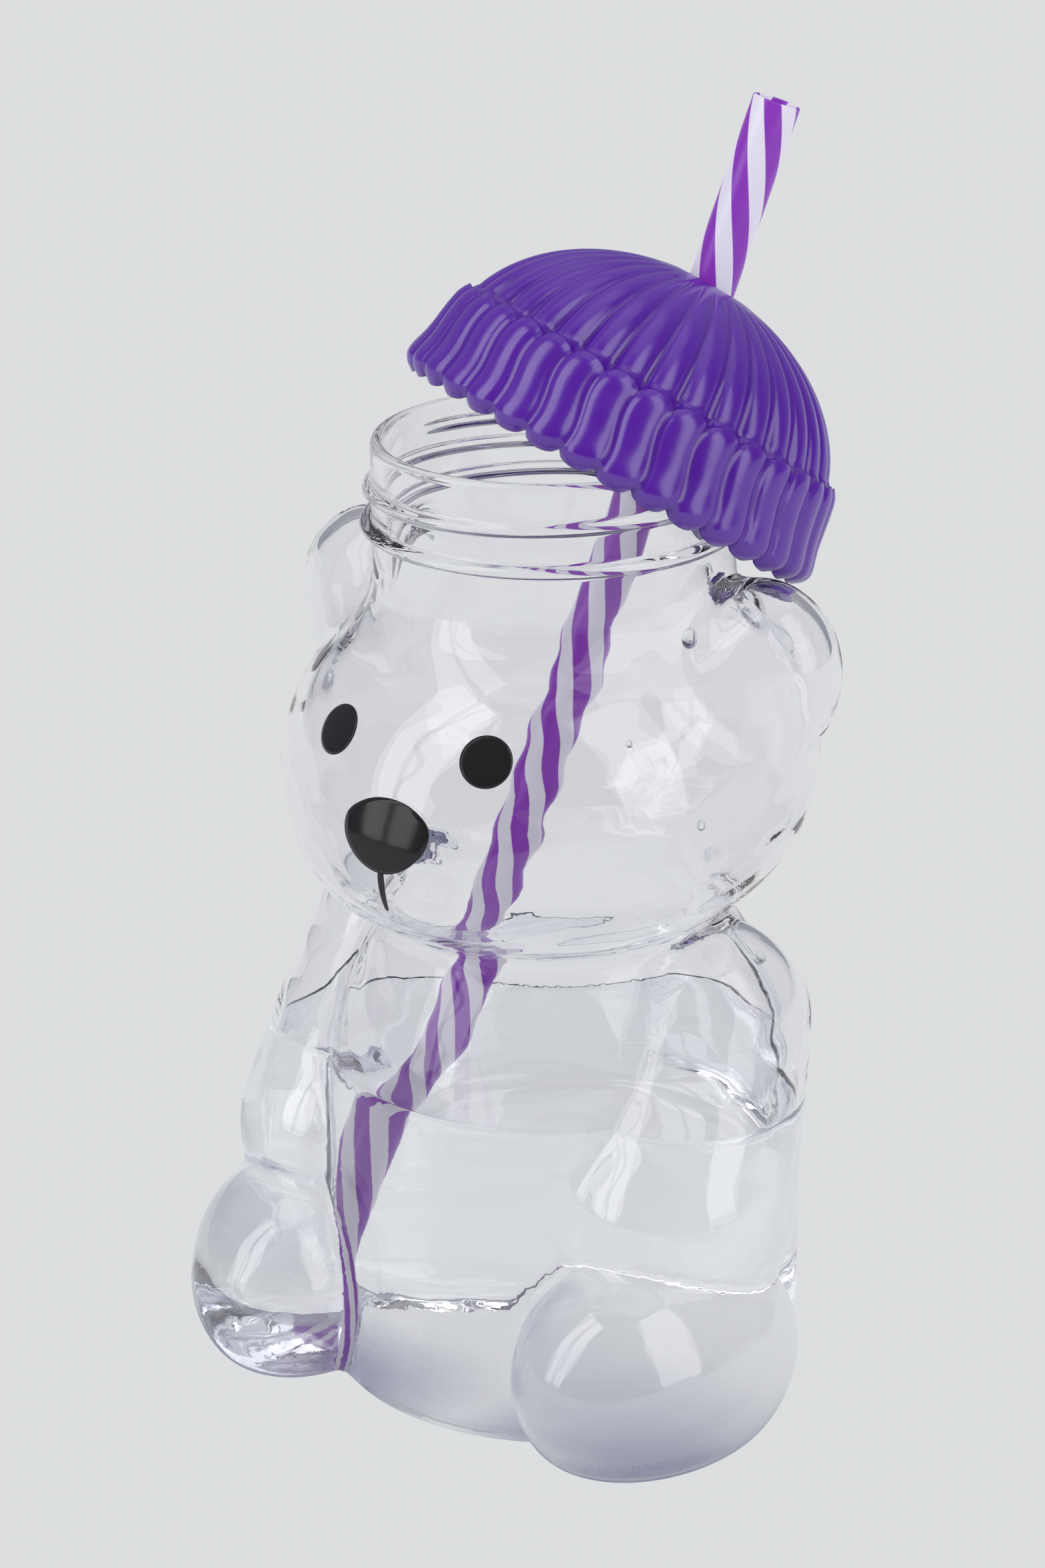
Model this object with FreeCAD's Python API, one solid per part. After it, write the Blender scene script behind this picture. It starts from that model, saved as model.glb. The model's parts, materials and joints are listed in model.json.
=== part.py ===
import FreeCAD, Part
import math
import os

# Bear-shaped drink bottle with a ribbed knit-cap lid and a drinking straw, in millimetres.
# +Z is up and the bear faces -Y, so its left side is +X. The origin is on the surface that the
# bottle stands on, below the middle of its neck. The lid is off its thread: it leans on the neck
# and the left ear, with the straw through its hole, and the straw's foot stands in the right leg.

# Bottle shell: wall and base
wall = 1.6
base_thickness = 2.2
base_corner_radius = 6.0

# Torso barrel, turned about Z; its outline rises from the base corner to the inside of the head
torso_foot_radius = 40.0
torso_radius = 41.0
torso_height = 84.0
torso_outline_shares = ((1.0, 0.36), (0.951, 0.714), (0.829, 0.893), (0.68, 1.0))

# Head, an egg lying on its side
head_half_width = 44.4
head_half_depth = 45.6
head_half_height = 33.2
head_above_torso = 26.4
head_forward = 1.5
head_centre_height = torso_height + head_above_torso

# Muzzle, a low swelling of the face below the eyes
muzzle_half_width = 27.0
muzzle_half_depth = 17.6
muzzle_half_height = 17.0
muzzle_forward = 32.0
muzzle_below_head = 5.4

# Ears
ear_half_width = 13.6
ear_half_depth = 10.6
ear_half_height = 14.7
ear_offset = 38.4
ear_back = 3.0
ear_above_head = 20.8

# Arms, each a cone between a shoulder ball and a hand ball
shoulder_radius = 17.0
shoulder_offset = 31.2
shoulder_forward = 1.4
shoulder_height = 69.9
hand_radius = 20.7
hand_offset = 31.9
hand_forward = 14.2
hand_height = 40.8

# Legs, cut flat where they stand
leg_half_width = 19.5
leg_half_length = 27.1
leg_half_height = 20.7
leg_offset = 35.4
leg_forward = 24.3
leg_centre_height = 17.8
leg_toe_in_degrees = 13.4

# Neck finish: root of the thread, bore, flange bead and rim
neck_radius = 29.8
neck_wall = 2.3
neck_bore_radius = neck_radius - neck_wall
rim_above_head = 54.6
rim_height = head_centre_height + rim_above_head
rim_round = 0.9
flange_reach = 1.95
flange_radius = neck_radius + flange_reach
flange_below_rim = 14.2
flange_height = rim_height - flange_below_rim
flange_half_thickness = 1.0

# Screw thread, shared by neck and lid
thread_pitch = 4.2
thread_depth = 1.4
thread_root_width = 2.4
thread_crest_width = 1.0
thread_sink = 0.4
thread_clearance = 0.7
neck_thread_turns = 1.5
neck_thread_below_rim = 10.8
lid_thread_turns = 1.25
lid_thread_above_skirt = 3.0

# Printed face: ink films on the head
ink_thickness = 0.15
ink_gap = 0.02
eye_radius = 4.3
eye_offset = 14.4
eye_above_head = 13.2
nose_half_width = 8.3
nose_half_height = 5.9
nose_above_head = 0.2
nose_outline_shares = ((0.0, 1.0), (0.52, 0.86), (0.94, 0.42), (0.92, -0.2), (0.52, -0.78), (0.0, -1.0))
mouth_length = 6.9
mouth_top_half_width = 0.7
mouth_tip_half_width = 0.4

# Lid: knit cap with a turned-up cuff; heights are above the cuff's lower edge
rib_count = 34
rib_depth = 1.0
lid_wall = 1.6
lid_beyond_neck = 8.0
lid_radius = neck_radius + lid_beyond_neck
cuff_height = 17.1
cuff_outline_shares = ((0.94, 0.0, 0.6), (0.985, 0.08, 1.0), (1.0, 0.19, 1.1), (0.972, 0.43, 1.1),
                       (0.95, 0.73, 1.0), (0.932, 0.9, 0.9), (0.905, 1.0, 0.6))
dome_beyond_neck = 4.3
dome_radius = neck_radius + dome_beyond_neck
dome_half_height = 25.8
dome_base_height = 10.5
dome_ring_degrees = (0.0, 16.0, 32.0, 46.0, 59.0, 70.0, 79.0)
dome_rib_shares = (1.0, 1.0, 1.0, 0.9, 0.7, 0.4, 0.0)

# Inside of the lid: threaded skirt, gap behind it and land for the gasket
skirt_wall = 1.5
skirt_flange_gap = 0.7
land_height = 17.1
land_inset = 0.8
gap_top_height = 12.0
gap_top_width = 0.5
gap_curl_height = 2.6
vault_points = 16

# Gasket
gasket_thickness = 1.6
gasket_lip = 1.0
gasket_clearance = 0.3
gasket_seat_gap = 0.05

# How the lid leans on the neck: tilt, direction of the low side, slip down that side and lift.
# The lid slips until its skirt is hooked past both sides of the neck.
lid_tilt_degrees = 32.8
lid_heading_degrees = 57.5
lid_hook = 2.2145
lid_slip = math.sqrt((neck_radius + lid_hook) ** 2 - neck_radius ** 2)
lid_lift = -2.45

# Straw
straw_radius = 4.0
straw_wall = 0.6
straw_length = 226.0
straw_hole_clearance = 1.6
straw_lean = 0.7
straw_foot_shares = (0.31, 0.02)
straw_foot_clearance = 0.3
straw_lean_share = 0.36

# Cutters reach this far past what they cut
overrun = 5.0

UP = FreeCAD.Vector(0, 0, 1)


def point(radius, height):
    """A point of an outline that is turned about Z."""
    return FreeCAD.Vector(radius, 0, height)


def run(*points):
    """Straight edges through the points."""
    return [Part.makeLine(a, b) for a, b in zip(points, points[1:])]


def arc(start, middle, end):
    return Part.Arc(start, middle, end).toShape()


def spline(points):
    curve = Part.BSplineCurve()
    curve.interpolate(points)
    return curve.toShape()


def turned(edges):
    """The solid that a closed outline in the XZ plane makes when it is turned about Z."""
    face = Part.Face(Part.Wire(edges))
    return face.revolve(FreeCAD.Vector(), UP, 360)


def ellipsoid(half_x, half_y, half_z):
    """A unit ball stretched to its three half sizes."""
    stretch = FreeCAD.Matrix()
    stretch.scale(half_x, half_y, half_z)
    return Part.makeSphere(1).transformGeometry(stretch)


def ball_ended_cone(start, start_radius, end, end_radius):
    """Two balls and the cone that touches both."""
    axis = end - start
    length = axis.Length
    sine = (start_radius - end_radius) / length
    cosine = math.sqrt(1 - sine * sine)
    lower = point(start_radius * cosine, start_radius * sine)
    upper = point(end_radius * cosine, length + end_radius * sine)
    half_lower = (math.asin(sine) - math.pi / 2) / 2
    half_upper = (math.asin(sine) + math.pi / 2) / 2
    foot = point(0, -start_radius)
    top = point(0, length + end_radius)
    lower_mid = point(start_radius * math.cos(half_lower), start_radius * math.sin(half_lower))
    upper_mid = point(end_radius * math.cos(half_upper), length + end_radius * math.sin(half_upper))
    edges = [arc(foot, lower_mid, lower)] + run(lower, upper) + [arc(upper, upper_mid, top)] + run(top, foot)
    solid = turned(edges)
    solid.Placement = FreeCAD.Placement(start, FreeCAD.Rotation(UP, axis))
    return solid


def torso(inset):
    """The barrel, with every wall moved in by the inset."""
    foot_radius = torso_foot_radius - inset
    corner = base_corner_radius - inset
    corner_centre = point(foot_radius - corner, base_corner_radius)
    drop = corner / math.sqrt(2)
    base_edge = point(foot_radius - corner, inset)
    corner_mid = corner_centre + point(drop, -drop)
    corner_top = point(foot_radius, base_corner_radius)
    side = [corner_top]
    for radius_share, height_share in torso_outline_shares:
        side.append(point(torso_radius * radius_share - inset, torso_height * height_share))
    axis_top = point(0, torso_height)
    edges = run(point(0, inset), base_edge) + [arc(base_edge, corner_mid, corner_top), spline(side)]
    edges += run(side[-1], axis_top, point(0, inset))
    return turned(edges)


def head(inset):
    egg = ellipsoid(head_half_width - inset, head_half_depth - inset, head_half_height - inset)
    egg.translate(FreeCAD.Vector(0, -head_forward, head_centre_height))
    return egg


def muzzle(inset):
    swelling = ellipsoid(muzzle_half_width - inset, muzzle_half_depth - inset, muzzle_half_height - inset)
    swelling.translate(FreeCAD.Vector(0, -muzzle_forward, head_centre_height - muzzle_below_head))
    return swelling


def ear(side, inset):
    lobe = ellipsoid(ear_half_width - inset, ear_half_depth - inset, ear_half_height - inset)
    lobe.translate(FreeCAD.Vector(side * ear_offset, ear_back, head_centre_height + ear_above_head))
    return lobe


def arm(side, inset):
    shoulder = FreeCAD.Vector(side * shoulder_offset, -shoulder_forward, shoulder_height)
    hand = FreeCAD.Vector(side * hand_offset, -hand_forward, hand_height)
    return ball_ended_cone(shoulder, shoulder_radius - inset, hand, hand_radius - inset)


def leg(side, inset):
    limb = ellipsoid(leg_half_width - inset, leg_half_length - inset, leg_half_height - inset)
    limb.rotate(FreeCAD.Vector(), UP, -side * leg_toe_in_degrees)
    limb.translate(FreeCAD.Vector(side * leg_offset, -leg_forward, leg_centre_height))
    return limb


def body(inset, floor, tube):
    """Torso, head, limbs and neck tube in one, cut flat at the floor's height."""
    pieces = [head(inset), muzzle(inset), tube]
    for side in (-1, 1):
        pieces += [ear(side, inset), arm(side, inset), leg(side, inset)]
    whole = torso(inset).multiFuse(pieces)
    reach = torso_radius + leg_forward + leg_half_length
    below = Part.makeBox(2 * reach, 2 * reach, reach, FreeCAD.Vector(-reach, -reach, floor - reach))
    return whole.cut(below)


def neck_tube():
    """Outside of the neck, with its flange bead and rounded rim."""
    foot = point(neck_radius, head_centre_height)
    bead_low = point(neck_radius, flange_height - flange_half_thickness)
    bead_mid = point(flange_radius, flange_height)
    bead_high = point(neck_radius, flange_height + flange_half_thickness)
    rim_low = point(neck_radius, rim_height - rim_round)
    rim_turn = rim_round * (1 - 1 / math.sqrt(2))
    rim_mid = point(neck_radius - rim_turn, rim_height - rim_turn)
    rim_top = point(neck_radius - rim_round, rim_height)
    edges = run(point(0, head_centre_height), foot, bead_low) + [arc(bead_low, bead_mid, bead_high)]
    edges += run(bead_high, rim_low) + [arc(rim_low, rim_mid, rim_top)]
    edges += run(rim_top, point(0, rim_height), point(0, head_centre_height))
    return turned(edges)


def thread_ridge(root_radius, crest_radius, turns):
    """A screw ridge from its root to its crest radius, sunk a little into the wall that carries it."""
    outward = math.copysign(1, crest_radius - root_radius)
    base = root_radius - outward * thread_sink
    half_root = thread_root_width / 2
    half_crest = thread_crest_width / 2
    outline = run(point(base, -half_root), point(crest_radius, -half_crest), point(crest_radius, half_crest),
                  point(base, half_root), point(base, -half_root))
    path = Part.makeHelix(thread_pitch, thread_pitch * turns, root_radius)
    return Part.Wire(path.Edges).makePipeShell([Part.Wire(outline)], True, True)


def bottle_shell():
    ridge = thread_ridge(neck_radius, neck_radius + thread_depth, neck_thread_turns)
    ridge.translate(FreeCAD.Vector(0, 0, rim_height - neck_thread_below_rim))
    bore = Part.makeCylinder(neck_bore_radius, rim_height + overrun - head_centre_height,
                             FreeCAD.Vector(0, 0, head_centre_height))
    outside = body(0, 0, neck_tube()).fuse(ridge)
    inside = body(wall, base_thickness, bore)
    return outside.cut(inside)


def face(inset):
    return head(inset).fuse(muzzle(inset))


def ink_film(outline):
    """A thin film on the face, inside an outline that runs through it."""
    film = face(-ink_gap - ink_thickness).cut(face(-ink_gap))
    return film.common(outline)


def prism(edges):
    """An outline drawn in the XZ plane, run from in front of the face to the middle of the head."""
    front = head_forward + head_half_depth + overrun
    sheet = Part.Face(Part.Wire(edges))
    sheet.translate(FreeCAD.Vector(0, -front, 0))
    return sheet.extrude(FreeCAD.Vector(0, front, 0))


def eye_print(side):
    """A round spot, cut square to the head where its middle lies."""
    across = side * eye_offset / head_half_width
    above = eye_above_head / head_half_height
    depth = head_half_depth * math.sqrt(1 - across * across - above * above)
    eye_height = head_centre_height + eye_above_head
    middle = FreeCAD.Vector(side * eye_offset, -head_forward - depth, eye_height)
    backward = -depth / head_half_depth ** 2
    outward = FreeCAD.Vector(across / head_half_width, backward, above / head_half_height)
    outward.normalize()
    spot = Part.makeCylinder(eye_radius, 2 * overrun, middle - outward * overrun, outward)
    return ink_film(spot)


def nose_and_mouth_print():
    nose_height = head_centre_height + nose_above_head
    right = [point(nose_half_width * x, nose_height + nose_half_height * z) for x, z in nose_outline_shares]
    left = [point(-p.x, p.z) for p in reversed(right[1:-1])]
    nose_curve = Part.BSplineCurve()
    nose_curve.interpolate(Points=right + left, PeriodicFlag=True)
    mouth_tip = nose_height - nose_half_height - mouth_length
    tip_left = point(-mouth_tip_half_width, mouth_tip + mouth_tip_half_width)
    tip_right = point(mouth_tip_half_width, mouth_tip + mouth_tip_half_width)
    top_left = point(-mouth_top_half_width, nose_height)
    top_right = point(mouth_top_half_width, nose_height)
    mouth = run(tip_right, top_right, top_left, tip_left) + [arc(tip_left, point(0, mouth_tip), tip_right)]
    return ink_film(prism([nose_curve.toShape()]).fuse(prism(mouth)))


def rib_ring(radius, depth, height):
    """A closed ring of arcs, one for each rib: crests at the radius, grooves below it by the depth."""
    step = 2 * math.pi / rib_count

    def at(turn, reach):
        return FreeCAD.Vector(reach * math.cos(turn), reach * math.sin(turn), height)

    arcs = []
    for rib in range(rib_count):
        turn = rib * step
        groove, next_groove = at(turn, radius - depth), at(turn + step, radius - depth)
        arcs.append(arc(groove, at(turn + step / 2, radius), next_groove))
    return Part.Wire(arcs)


def lid_outside():
    """The ribbed cuff and the ribbed dome that rises out of it."""
    cuff_rings = []
    for radius_share, height_share, depth_share in cuff_outline_shares:
        height = cuff_height * height_share
        cuff_rings.append(rib_ring(lid_radius * radius_share, rib_depth * depth_share, height))
    dome_rings = []
    for degrees, depth_share in zip(dome_ring_degrees, dome_rib_shares):
        turn = math.radians(degrees)
        height = dome_base_height + dome_half_height * math.sin(turn)
        dome_rings.append(rib_ring(dome_radius * math.cos(turn), rib_depth * depth_share, height))
    cuff = Part.makeLoft(cuff_rings, True, False)
    dome = Part.makeLoft(dome_rings, True, False)
    return cuff.fuse(dome)


def gasket_bottom():
    return land_height - gasket_thickness - gasket_seat_gap


def skirt_foot():
    """Lower end of the skirt, which stops above the flange when the gasket meets the rim."""
    seated_edge = rim_height - gasket_bottom()
    return flange_height + flange_half_thickness + skirt_flange_gap - seated_edge


def skirt_bore():
    return neck_radius + thread_depth + thread_clearance


def lid_inside():
    """The hollow of the lid, turned about its axis, with the skirt left standing in it."""
    bore = skirt_bore()
    skirt = bore + skirt_wall
    foot = skirt_foot()
    behind = lid_radius - rib_depth - lid_wall
    half_wide = dome_radius - rib_depth - lid_wall
    half_high = dome_half_height - rib_depth - lid_wall
    land = neck_radius - land_inset
    land_turn = math.acos(land / half_wide)
    vault = []
    for step in range(vault_points + 1):
        turn = land_turn + (math.pi / 2 - land_turn) * step / vault_points
        vault.append(point(half_wide * math.cos(turn), dome_base_height + half_high * math.sin(turn)))
    vault[-1] = point(0, dome_base_height + half_high)
    edges = run(point(0, -overrun), point(skirt, -overrun), point(skirt, 0), point(behind, gap_curl_height),
                point(skirt + gap_top_width, gap_top_height), point(skirt, gap_top_height),
                point(skirt, foot), point(bore, foot), point(bore, land_height),
                point(land, land_height), vault[0])
    edges += [spline(vault)] + run(vault[-1], point(0, -overrun))
    return turned(edges)


def lid_heading():
    heading = math.radians(lid_heading_degrees)
    return FreeCAD.Vector(math.cos(heading), math.sin(heading), 0)


def lid_axis():
    tilt = math.radians(lid_tilt_degrees)
    return lid_heading() * math.sin(tilt) + UP * math.cos(tilt)


def lid_down_slope():
    tilt = math.radians(lid_tilt_degrees)
    return lid_heading() * math.cos(tilt) - UP * math.sin(tilt)


def lid_place():
    """Where the lid rests: the middle of its lower edge, and its axis."""
    middle = UP * rim_height + lid_down_slope() * lid_slip + lid_axis() * lid_lift
    return FreeCAD.Placement(middle, FreeCAD.Rotation(UP, lid_axis()))


def beanie_lid():
    hole = Part.makeCylinder(straw_radius + straw_hole_clearance, dome_half_height + overrun,
                             point(0, dome_base_height))
    ridge = thread_ridge(skirt_bore(), skirt_bore() - thread_depth, lid_thread_turns)
    ridge.translate(FreeCAD.Vector(0, 0, skirt_foot() + lid_thread_above_skirt))
    lid = lid_outside().cut(lid_inside()).cut(hole).fuse(ridge)
    lid.Placement = lid_place()
    return lid


def lid_gasket():
    outer = Part.makeCylinder(skirt_bore() - gasket_clearance, gasket_thickness, point(0, gasket_bottom()))
    inner = Part.makeCylinder(neck_bore_radius - gasket_lip, gasket_thickness + 2 * overrun,
                              point(0, gasket_bottom() - overrun))
    ring = outer.cut(inner)
    ring.Placement = lid_place()
    return ring


def straw_ends():
    """The straw's foot and its direction, up through the lid's hole, where it leans to the low side."""
    foot = FreeCAD.Vector(-leg_offset + leg_half_width * straw_foot_shares[0],
                          -leg_forward - leg_half_length * straw_foot_shares[1],
                          base_thickness + straw_foot_clearance + straw_radius * straw_lean_share)
    crown = dome_base_height + dome_half_height
    place = lid_place()
    hole = place.multVec(point(0, crown - (rib_depth + lid_wall) / 2)) + lid_down_slope() * straw_lean
    return foot, (hole - foot).normalize()


def straw():
    foot, along = straw_ends()
    tube = Part.makeCylinder(straw_radius, straw_length, foot, along)
    bore_length = straw_length + 2 * overrun
    bore = Part.makeCylinder(straw_radius - straw_wall, bore_length, foot - along * overrun, along)
    return tube.cut(bore)


def main():
    os.makedirs("parts", exist_ok=True)
    nodes = {
        "bottle_shell": bottle_shell(),
        "left_eye_print": eye_print(1),
        "right_eye_print": eye_print(-1),
        "nose_and_mouth_print": nose_and_mouth_print(),
        "beanie_lid": beanie_lid(),
        "lid_gasket": lid_gasket(),
        "straw": straw(),
    }
    for name, shape in nodes.items():
        shape.exportStep("parts/" + name + ".step")
        print(name, "solids", len(shape.Solids), "volume", round(shape.Volume, 1), "valid", shape.isValid())


main()
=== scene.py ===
# %% [markdown]
# # A clear bear bottle with a knit-cap lid and a striped straw
# This lesson dresses a imported model of a drink bottle. The imported solids are the frame: they hold the real
# sizes, the bodies that move and the joints. Each solid is replaced here by a finer mesh that rides on the
# same body, so that the bottle still comes apart in the same way. We load the frame first. Nothing that we add
# may grow past it.

# %% Load the frame
import bpy
import json
import math
import numpy as np
from mathutils import Matrix, Vector


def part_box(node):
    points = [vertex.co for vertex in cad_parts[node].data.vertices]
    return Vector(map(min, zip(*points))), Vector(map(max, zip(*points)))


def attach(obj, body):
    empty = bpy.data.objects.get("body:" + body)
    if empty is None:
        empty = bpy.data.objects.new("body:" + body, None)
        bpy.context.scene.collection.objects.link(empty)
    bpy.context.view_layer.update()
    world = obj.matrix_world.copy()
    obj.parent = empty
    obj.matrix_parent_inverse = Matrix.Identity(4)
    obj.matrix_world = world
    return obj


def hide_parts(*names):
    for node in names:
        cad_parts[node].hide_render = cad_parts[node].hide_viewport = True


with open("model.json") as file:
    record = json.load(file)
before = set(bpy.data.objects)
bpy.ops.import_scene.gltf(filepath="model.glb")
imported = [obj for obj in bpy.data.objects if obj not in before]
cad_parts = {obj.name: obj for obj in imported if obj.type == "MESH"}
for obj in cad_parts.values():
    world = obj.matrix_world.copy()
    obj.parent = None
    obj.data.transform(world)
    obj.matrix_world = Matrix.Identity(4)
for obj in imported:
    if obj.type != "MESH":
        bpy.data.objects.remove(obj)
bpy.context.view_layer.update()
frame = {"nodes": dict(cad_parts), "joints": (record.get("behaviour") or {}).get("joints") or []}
joints = {joint["name"]: joint for joint in frame["joints"]}
scene = bpy.context.scene
MM = 0.001
print("CAD nodes:", sorted(frame["nodes"]))

# %% [markdown]
# ## Camera
# A product shot like this one is made with a long lens from a little above. The viewing angle, the distance
# and the lens are those that put the neck's rings, the base and the straw where the picture has them. A
# camera looks along its own -Z, so its matrix is made of three directions: right, up and back.

# %% Camera
picture_height_pixels = 2352
focal_pixels = 6902.5
sensor_height = 36.0
azimuth = math.radians(34.69)
elevation = math.radians(20.27)
roll = math.radians(-0.67)
aim_height = 104.47 * MM
aim_right = -5.59 * MM
camera_distance = 767.66 * MM

back = Vector((math.sin(azimuth) * math.cos(elevation), -math.cos(azimuth) * math.cos(elevation),
               math.sin(elevation)))
level_right = Vector((math.cos(azimuth), math.sin(azimuth), 0))
level_up = back.cross(level_right)
right = level_right * math.cos(roll) + level_up * math.sin(roll)
up = level_up * math.cos(roll) - level_right * math.sin(roll)
camera = bpy.data.objects.new("camera", bpy.data.cameras.new("camera"))
scene.collection.objects.link(camera)
camera.data.sensor_fit = "VERTICAL"
camera.data.sensor_height = sensor_height
camera.data.lens = focal_pixels / picture_height_pixels * sensor_height
camera.matrix_world = Matrix((right, up, back)).transposed().to_4x4()
camera.location = Vector((0, 0, aim_height)) + level_right * aim_right + back * camera_distance
scene.camera = camera
print("lens", round(camera.data.lens, 2), "mm")

# %% [markdown]
# ## The bottle's shape as a field
# A blow-moulded bottle has no sharp inside corners: the head flows into the torso, and the torso into arms
# and legs. Sculpting that by hand is slow, and a union of spheres leaves hard creases. A distance field
# does it in a few lines: each limb is a formula for how far a point is from its surface, and a smooth
# minimum joins two formulas with a fillet. The limbs have the sizes of the solids, in millimetres.

# %% Limbs as distance fields
wall = 1.6
base_thickness = 2.2
base_round = 7.0
torso_radius = 41.0
torso_waist_height = 26.0
torso_reach = 80.5
torso_power = 3.5
head_centre = np.array((0.0, -1.5, 110.4))
head_halves = np.array((44.4, 45.6, 33.2))
muzzle_centre = np.array((0.0, -32.0, 105.0))
muzzle_halves = np.array((27.0, 17.6, 17.0))
ear_centre = np.array((38.4, 3.0, 131.2))
ear_halves = np.array((13.6, 10.6, 14.7))
shoulder_centre = np.array((31.2, -1.4, 69.9))
shoulder_radius = 17.0
hand_centre = np.array((31.9, -14.2, 40.8))
hand_radius = 20.7
leg_centre = np.array((35.4, -24.3, 17.8))
leg_halves = np.array((19.5, 27.1, 20.7))
leg_toe_in = math.radians(13.4)
neck_radius = 29.8
bore_radius = 27.5
tiny = 1e-9


def lengths(vectors):
    return np.sqrt((vectors * vectors).sum(axis=1))


def on_side(place, side):
    """A place on the bear's left, or its mirror on the right."""
    return place * np.array((side, 1.0, 1.0))


def ellipsoid(points, centre, halves, turn=0.0):
    offset = points - centre
    cosine, sine = math.cos(turn), math.sin(turn)
    local = np.column_stack((cosine * offset[:, 0] + sine * offset[:, 1],
                             cosine * offset[:, 1] - sine * offset[:, 0], offset[:, 2]))
    near = lengths(local / halves)
    slope = np.maximum(lengths(local / halves ** 2), tiny)
    return near * (near - 1) / slope


def ball_ended_cone(points, start, start_radius, end, end_radius):
    axis = end - start
    long = axis @ axis
    taper = start_radius - end_radius
    side_share = long - taper * taper
    offset = points - start
    along = offset @ axis
    past = along - long
    across = (offset * long - np.outer(along, axis))
    across = (across * across).sum(axis=1)
    turn = np.sign(taper) * taper * taper * across
    cone = (np.sqrt(across * side_share / long) + along * taper) / long - start_radius
    start_ball = np.sqrt(across + along * along * long) / long - start_radius
    end_ball = np.sqrt(across + past * past * long) / long - end_radius
    at_end = np.sign(past) * side_share * past * past * long > turn
    at_start = np.sign(along) * side_share * along * along * long < turn
    return np.where(at_end, end_ball, np.where(at_start, start_ball, cone))


def barrel(points):
    share = np.clip((points[:, 2] - torso_waist_height) / torso_reach, -1, 1)
    radius = torso_radius * (1 - np.abs(share) ** torso_power)
    slope = torso_radius * torso_power / torso_reach * np.abs(share) ** (torso_power - 1)
    return (np.hypot(points[:, 0], points[:, 1]) - radius) / np.sqrt(1 + slope * slope)


def smooth_union(one, other, blend):
    near = np.maximum(blend - np.abs(one - other), 0) / blend
    return np.minimum(one, other) - near * near * blend / 4


def smooth_cut(one, other, blend):
    return -smooth_union(-one, -other, blend)


chin_blend = 5.0
muzzle_blend = 3.0
ear_blend = 12.0
arm_blend = 2.5
leg_blend = 2.5
neck_blend = 7.0


def body_field(points, neck, neck_fillet):
    """Distance to the whole bear, negative inside; neck and its fillet belong to the neck cylinder."""
    head = smooth_union(ellipsoid(points, head_centre, head_halves),
                        ellipsoid(points, muzzle_centre, muzzle_halves), muzzle_blend)
    field = smooth_union(barrel(points), head, chin_blend)
    for side in (-1, 1):
        arm = ball_ended_cone(points, on_side(shoulder_centre, side), shoulder_radius,
                              on_side(hand_centre, side), hand_radius)
        leg = ellipsoid(points, on_side(leg_centre, side), leg_halves, -side * leg_toe_in)
        ear = ellipsoid(points, on_side(ear_centre, side), ear_halves)
        field = smooth_union(field, arm, arm_blend)
        field = smooth_union(field, leg, leg_blend)
        field = smooth_union(field, ear, ear_blend)
    tube = np.maximum(np.hypot(points[:, 0], points[:, 1]) - neck, head_centre[2] - points[:, 2])
    return smooth_union(field, tube, neck_fillet)


def outer_field(points):
    return smooth_cut(body_field(points, neck_radius, neck_blend), -points[:, 2], base_round)


# %% [markdown]
# The inside of the wall is the same field, a wall's thickness further in. A blown wall is never quite even,
# and that unevenness is what makes the straw look wavy through the plastic, so the thickness swells and
# thins with a few slow waves and with shorter ripples that mostly run round the bottle. The neck is
# moulded, not blown: its wall is even, and its bore ends in a slightly tighter corner inside.

# %% Inside of the wall
wall_swell = 0.22
swell_lengths = np.array((17.0, 21.0, 15.0))
ripple_height = 0.05
ripple_lengths = (9.5, 7.5, 6.3)
ripple_ways = np.array(((0.25, 0.2, 0.95), (-0.35, 0.25, 0.9), (0.3, -0.4, 0.87)))
even_below_neck = (136.0, 146.0)
bore_corner = 6.0


def smooth_step(low, high, value):
    share = np.clip((value - low) / (high - low), 0, 1)
    return share * share * (3 - 2 * share)


def wall_thickness(points):
    waves = np.sin(points / swell_lengths * 2 + points[:, [1, 2, 0]] / swell_lengths[[2, 0, 1]])
    ripples = np.sin(points @ ripple_ways.T * 2 * math.pi / ripple_lengths)
    uneven = wall_swell * waves.mean(axis=1) + ripple_height * ripples.sum(axis=1)
    return wall + uneven * (1 - smooth_step(*even_below_neck, points[:, 2]))


def inner_field(points, sink=0.0):
    """Distance to the hollow; a sink makes it reach that far into the wall."""
    hollow = body_field(points, bore_radius + wall, bore_corner) + wall_thickness(points) - sink
    return smooth_cut(hollow, base_thickness - sink - points[:, 2], base_round)


# %% [markdown]
# ## From field to mesh
# Blender has no node that meshes a formula at this quality, so a few lines of numpy do it. A grid of cubes
# is laid over the field; each cube that the surface passes through gets one vertex, and neighbouring cubes
# are joined by quads. The vertices are then slid along the surface until they are evenly spread, and pulled
# exactly onto it, which is what makes clear plastic look polished.

# %% Mesh a level of a field
grid_step = 1.45
slope_step = 0.02


def gradients(field, points):
    columns = []
    for axis in range(3):
        shift = np.zeros(3)
        shift[axis] = slope_step
        columns.append((field(points + shift) - field(points - shift)) / (2 * slope_step))
    return np.column_stack(columns)


def pull_onto(field, points, rounds=2, ways=1.0):
    """Moves points onto the zero level, along the axes that ways lets through."""
    for _ in range(rounds):
        slope = gradients(field, points) * ways
        points = points - slope * (field(points) / np.maximum((slope * slope).sum(axis=1), tiny))[:, None]
    return points


def quad_edges(quads):
    return np.vstack([quads[:, [a, (a + 1) % 4]] for a in range(4)])


def open_rim(quads):
    """The vertices of the edges that only one quad has."""
    edges, uses = np.unique(np.sort(quad_edges(quads), axis=1), axis=0, return_counts=True)
    return np.unique(edges[uses == 1])


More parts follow.
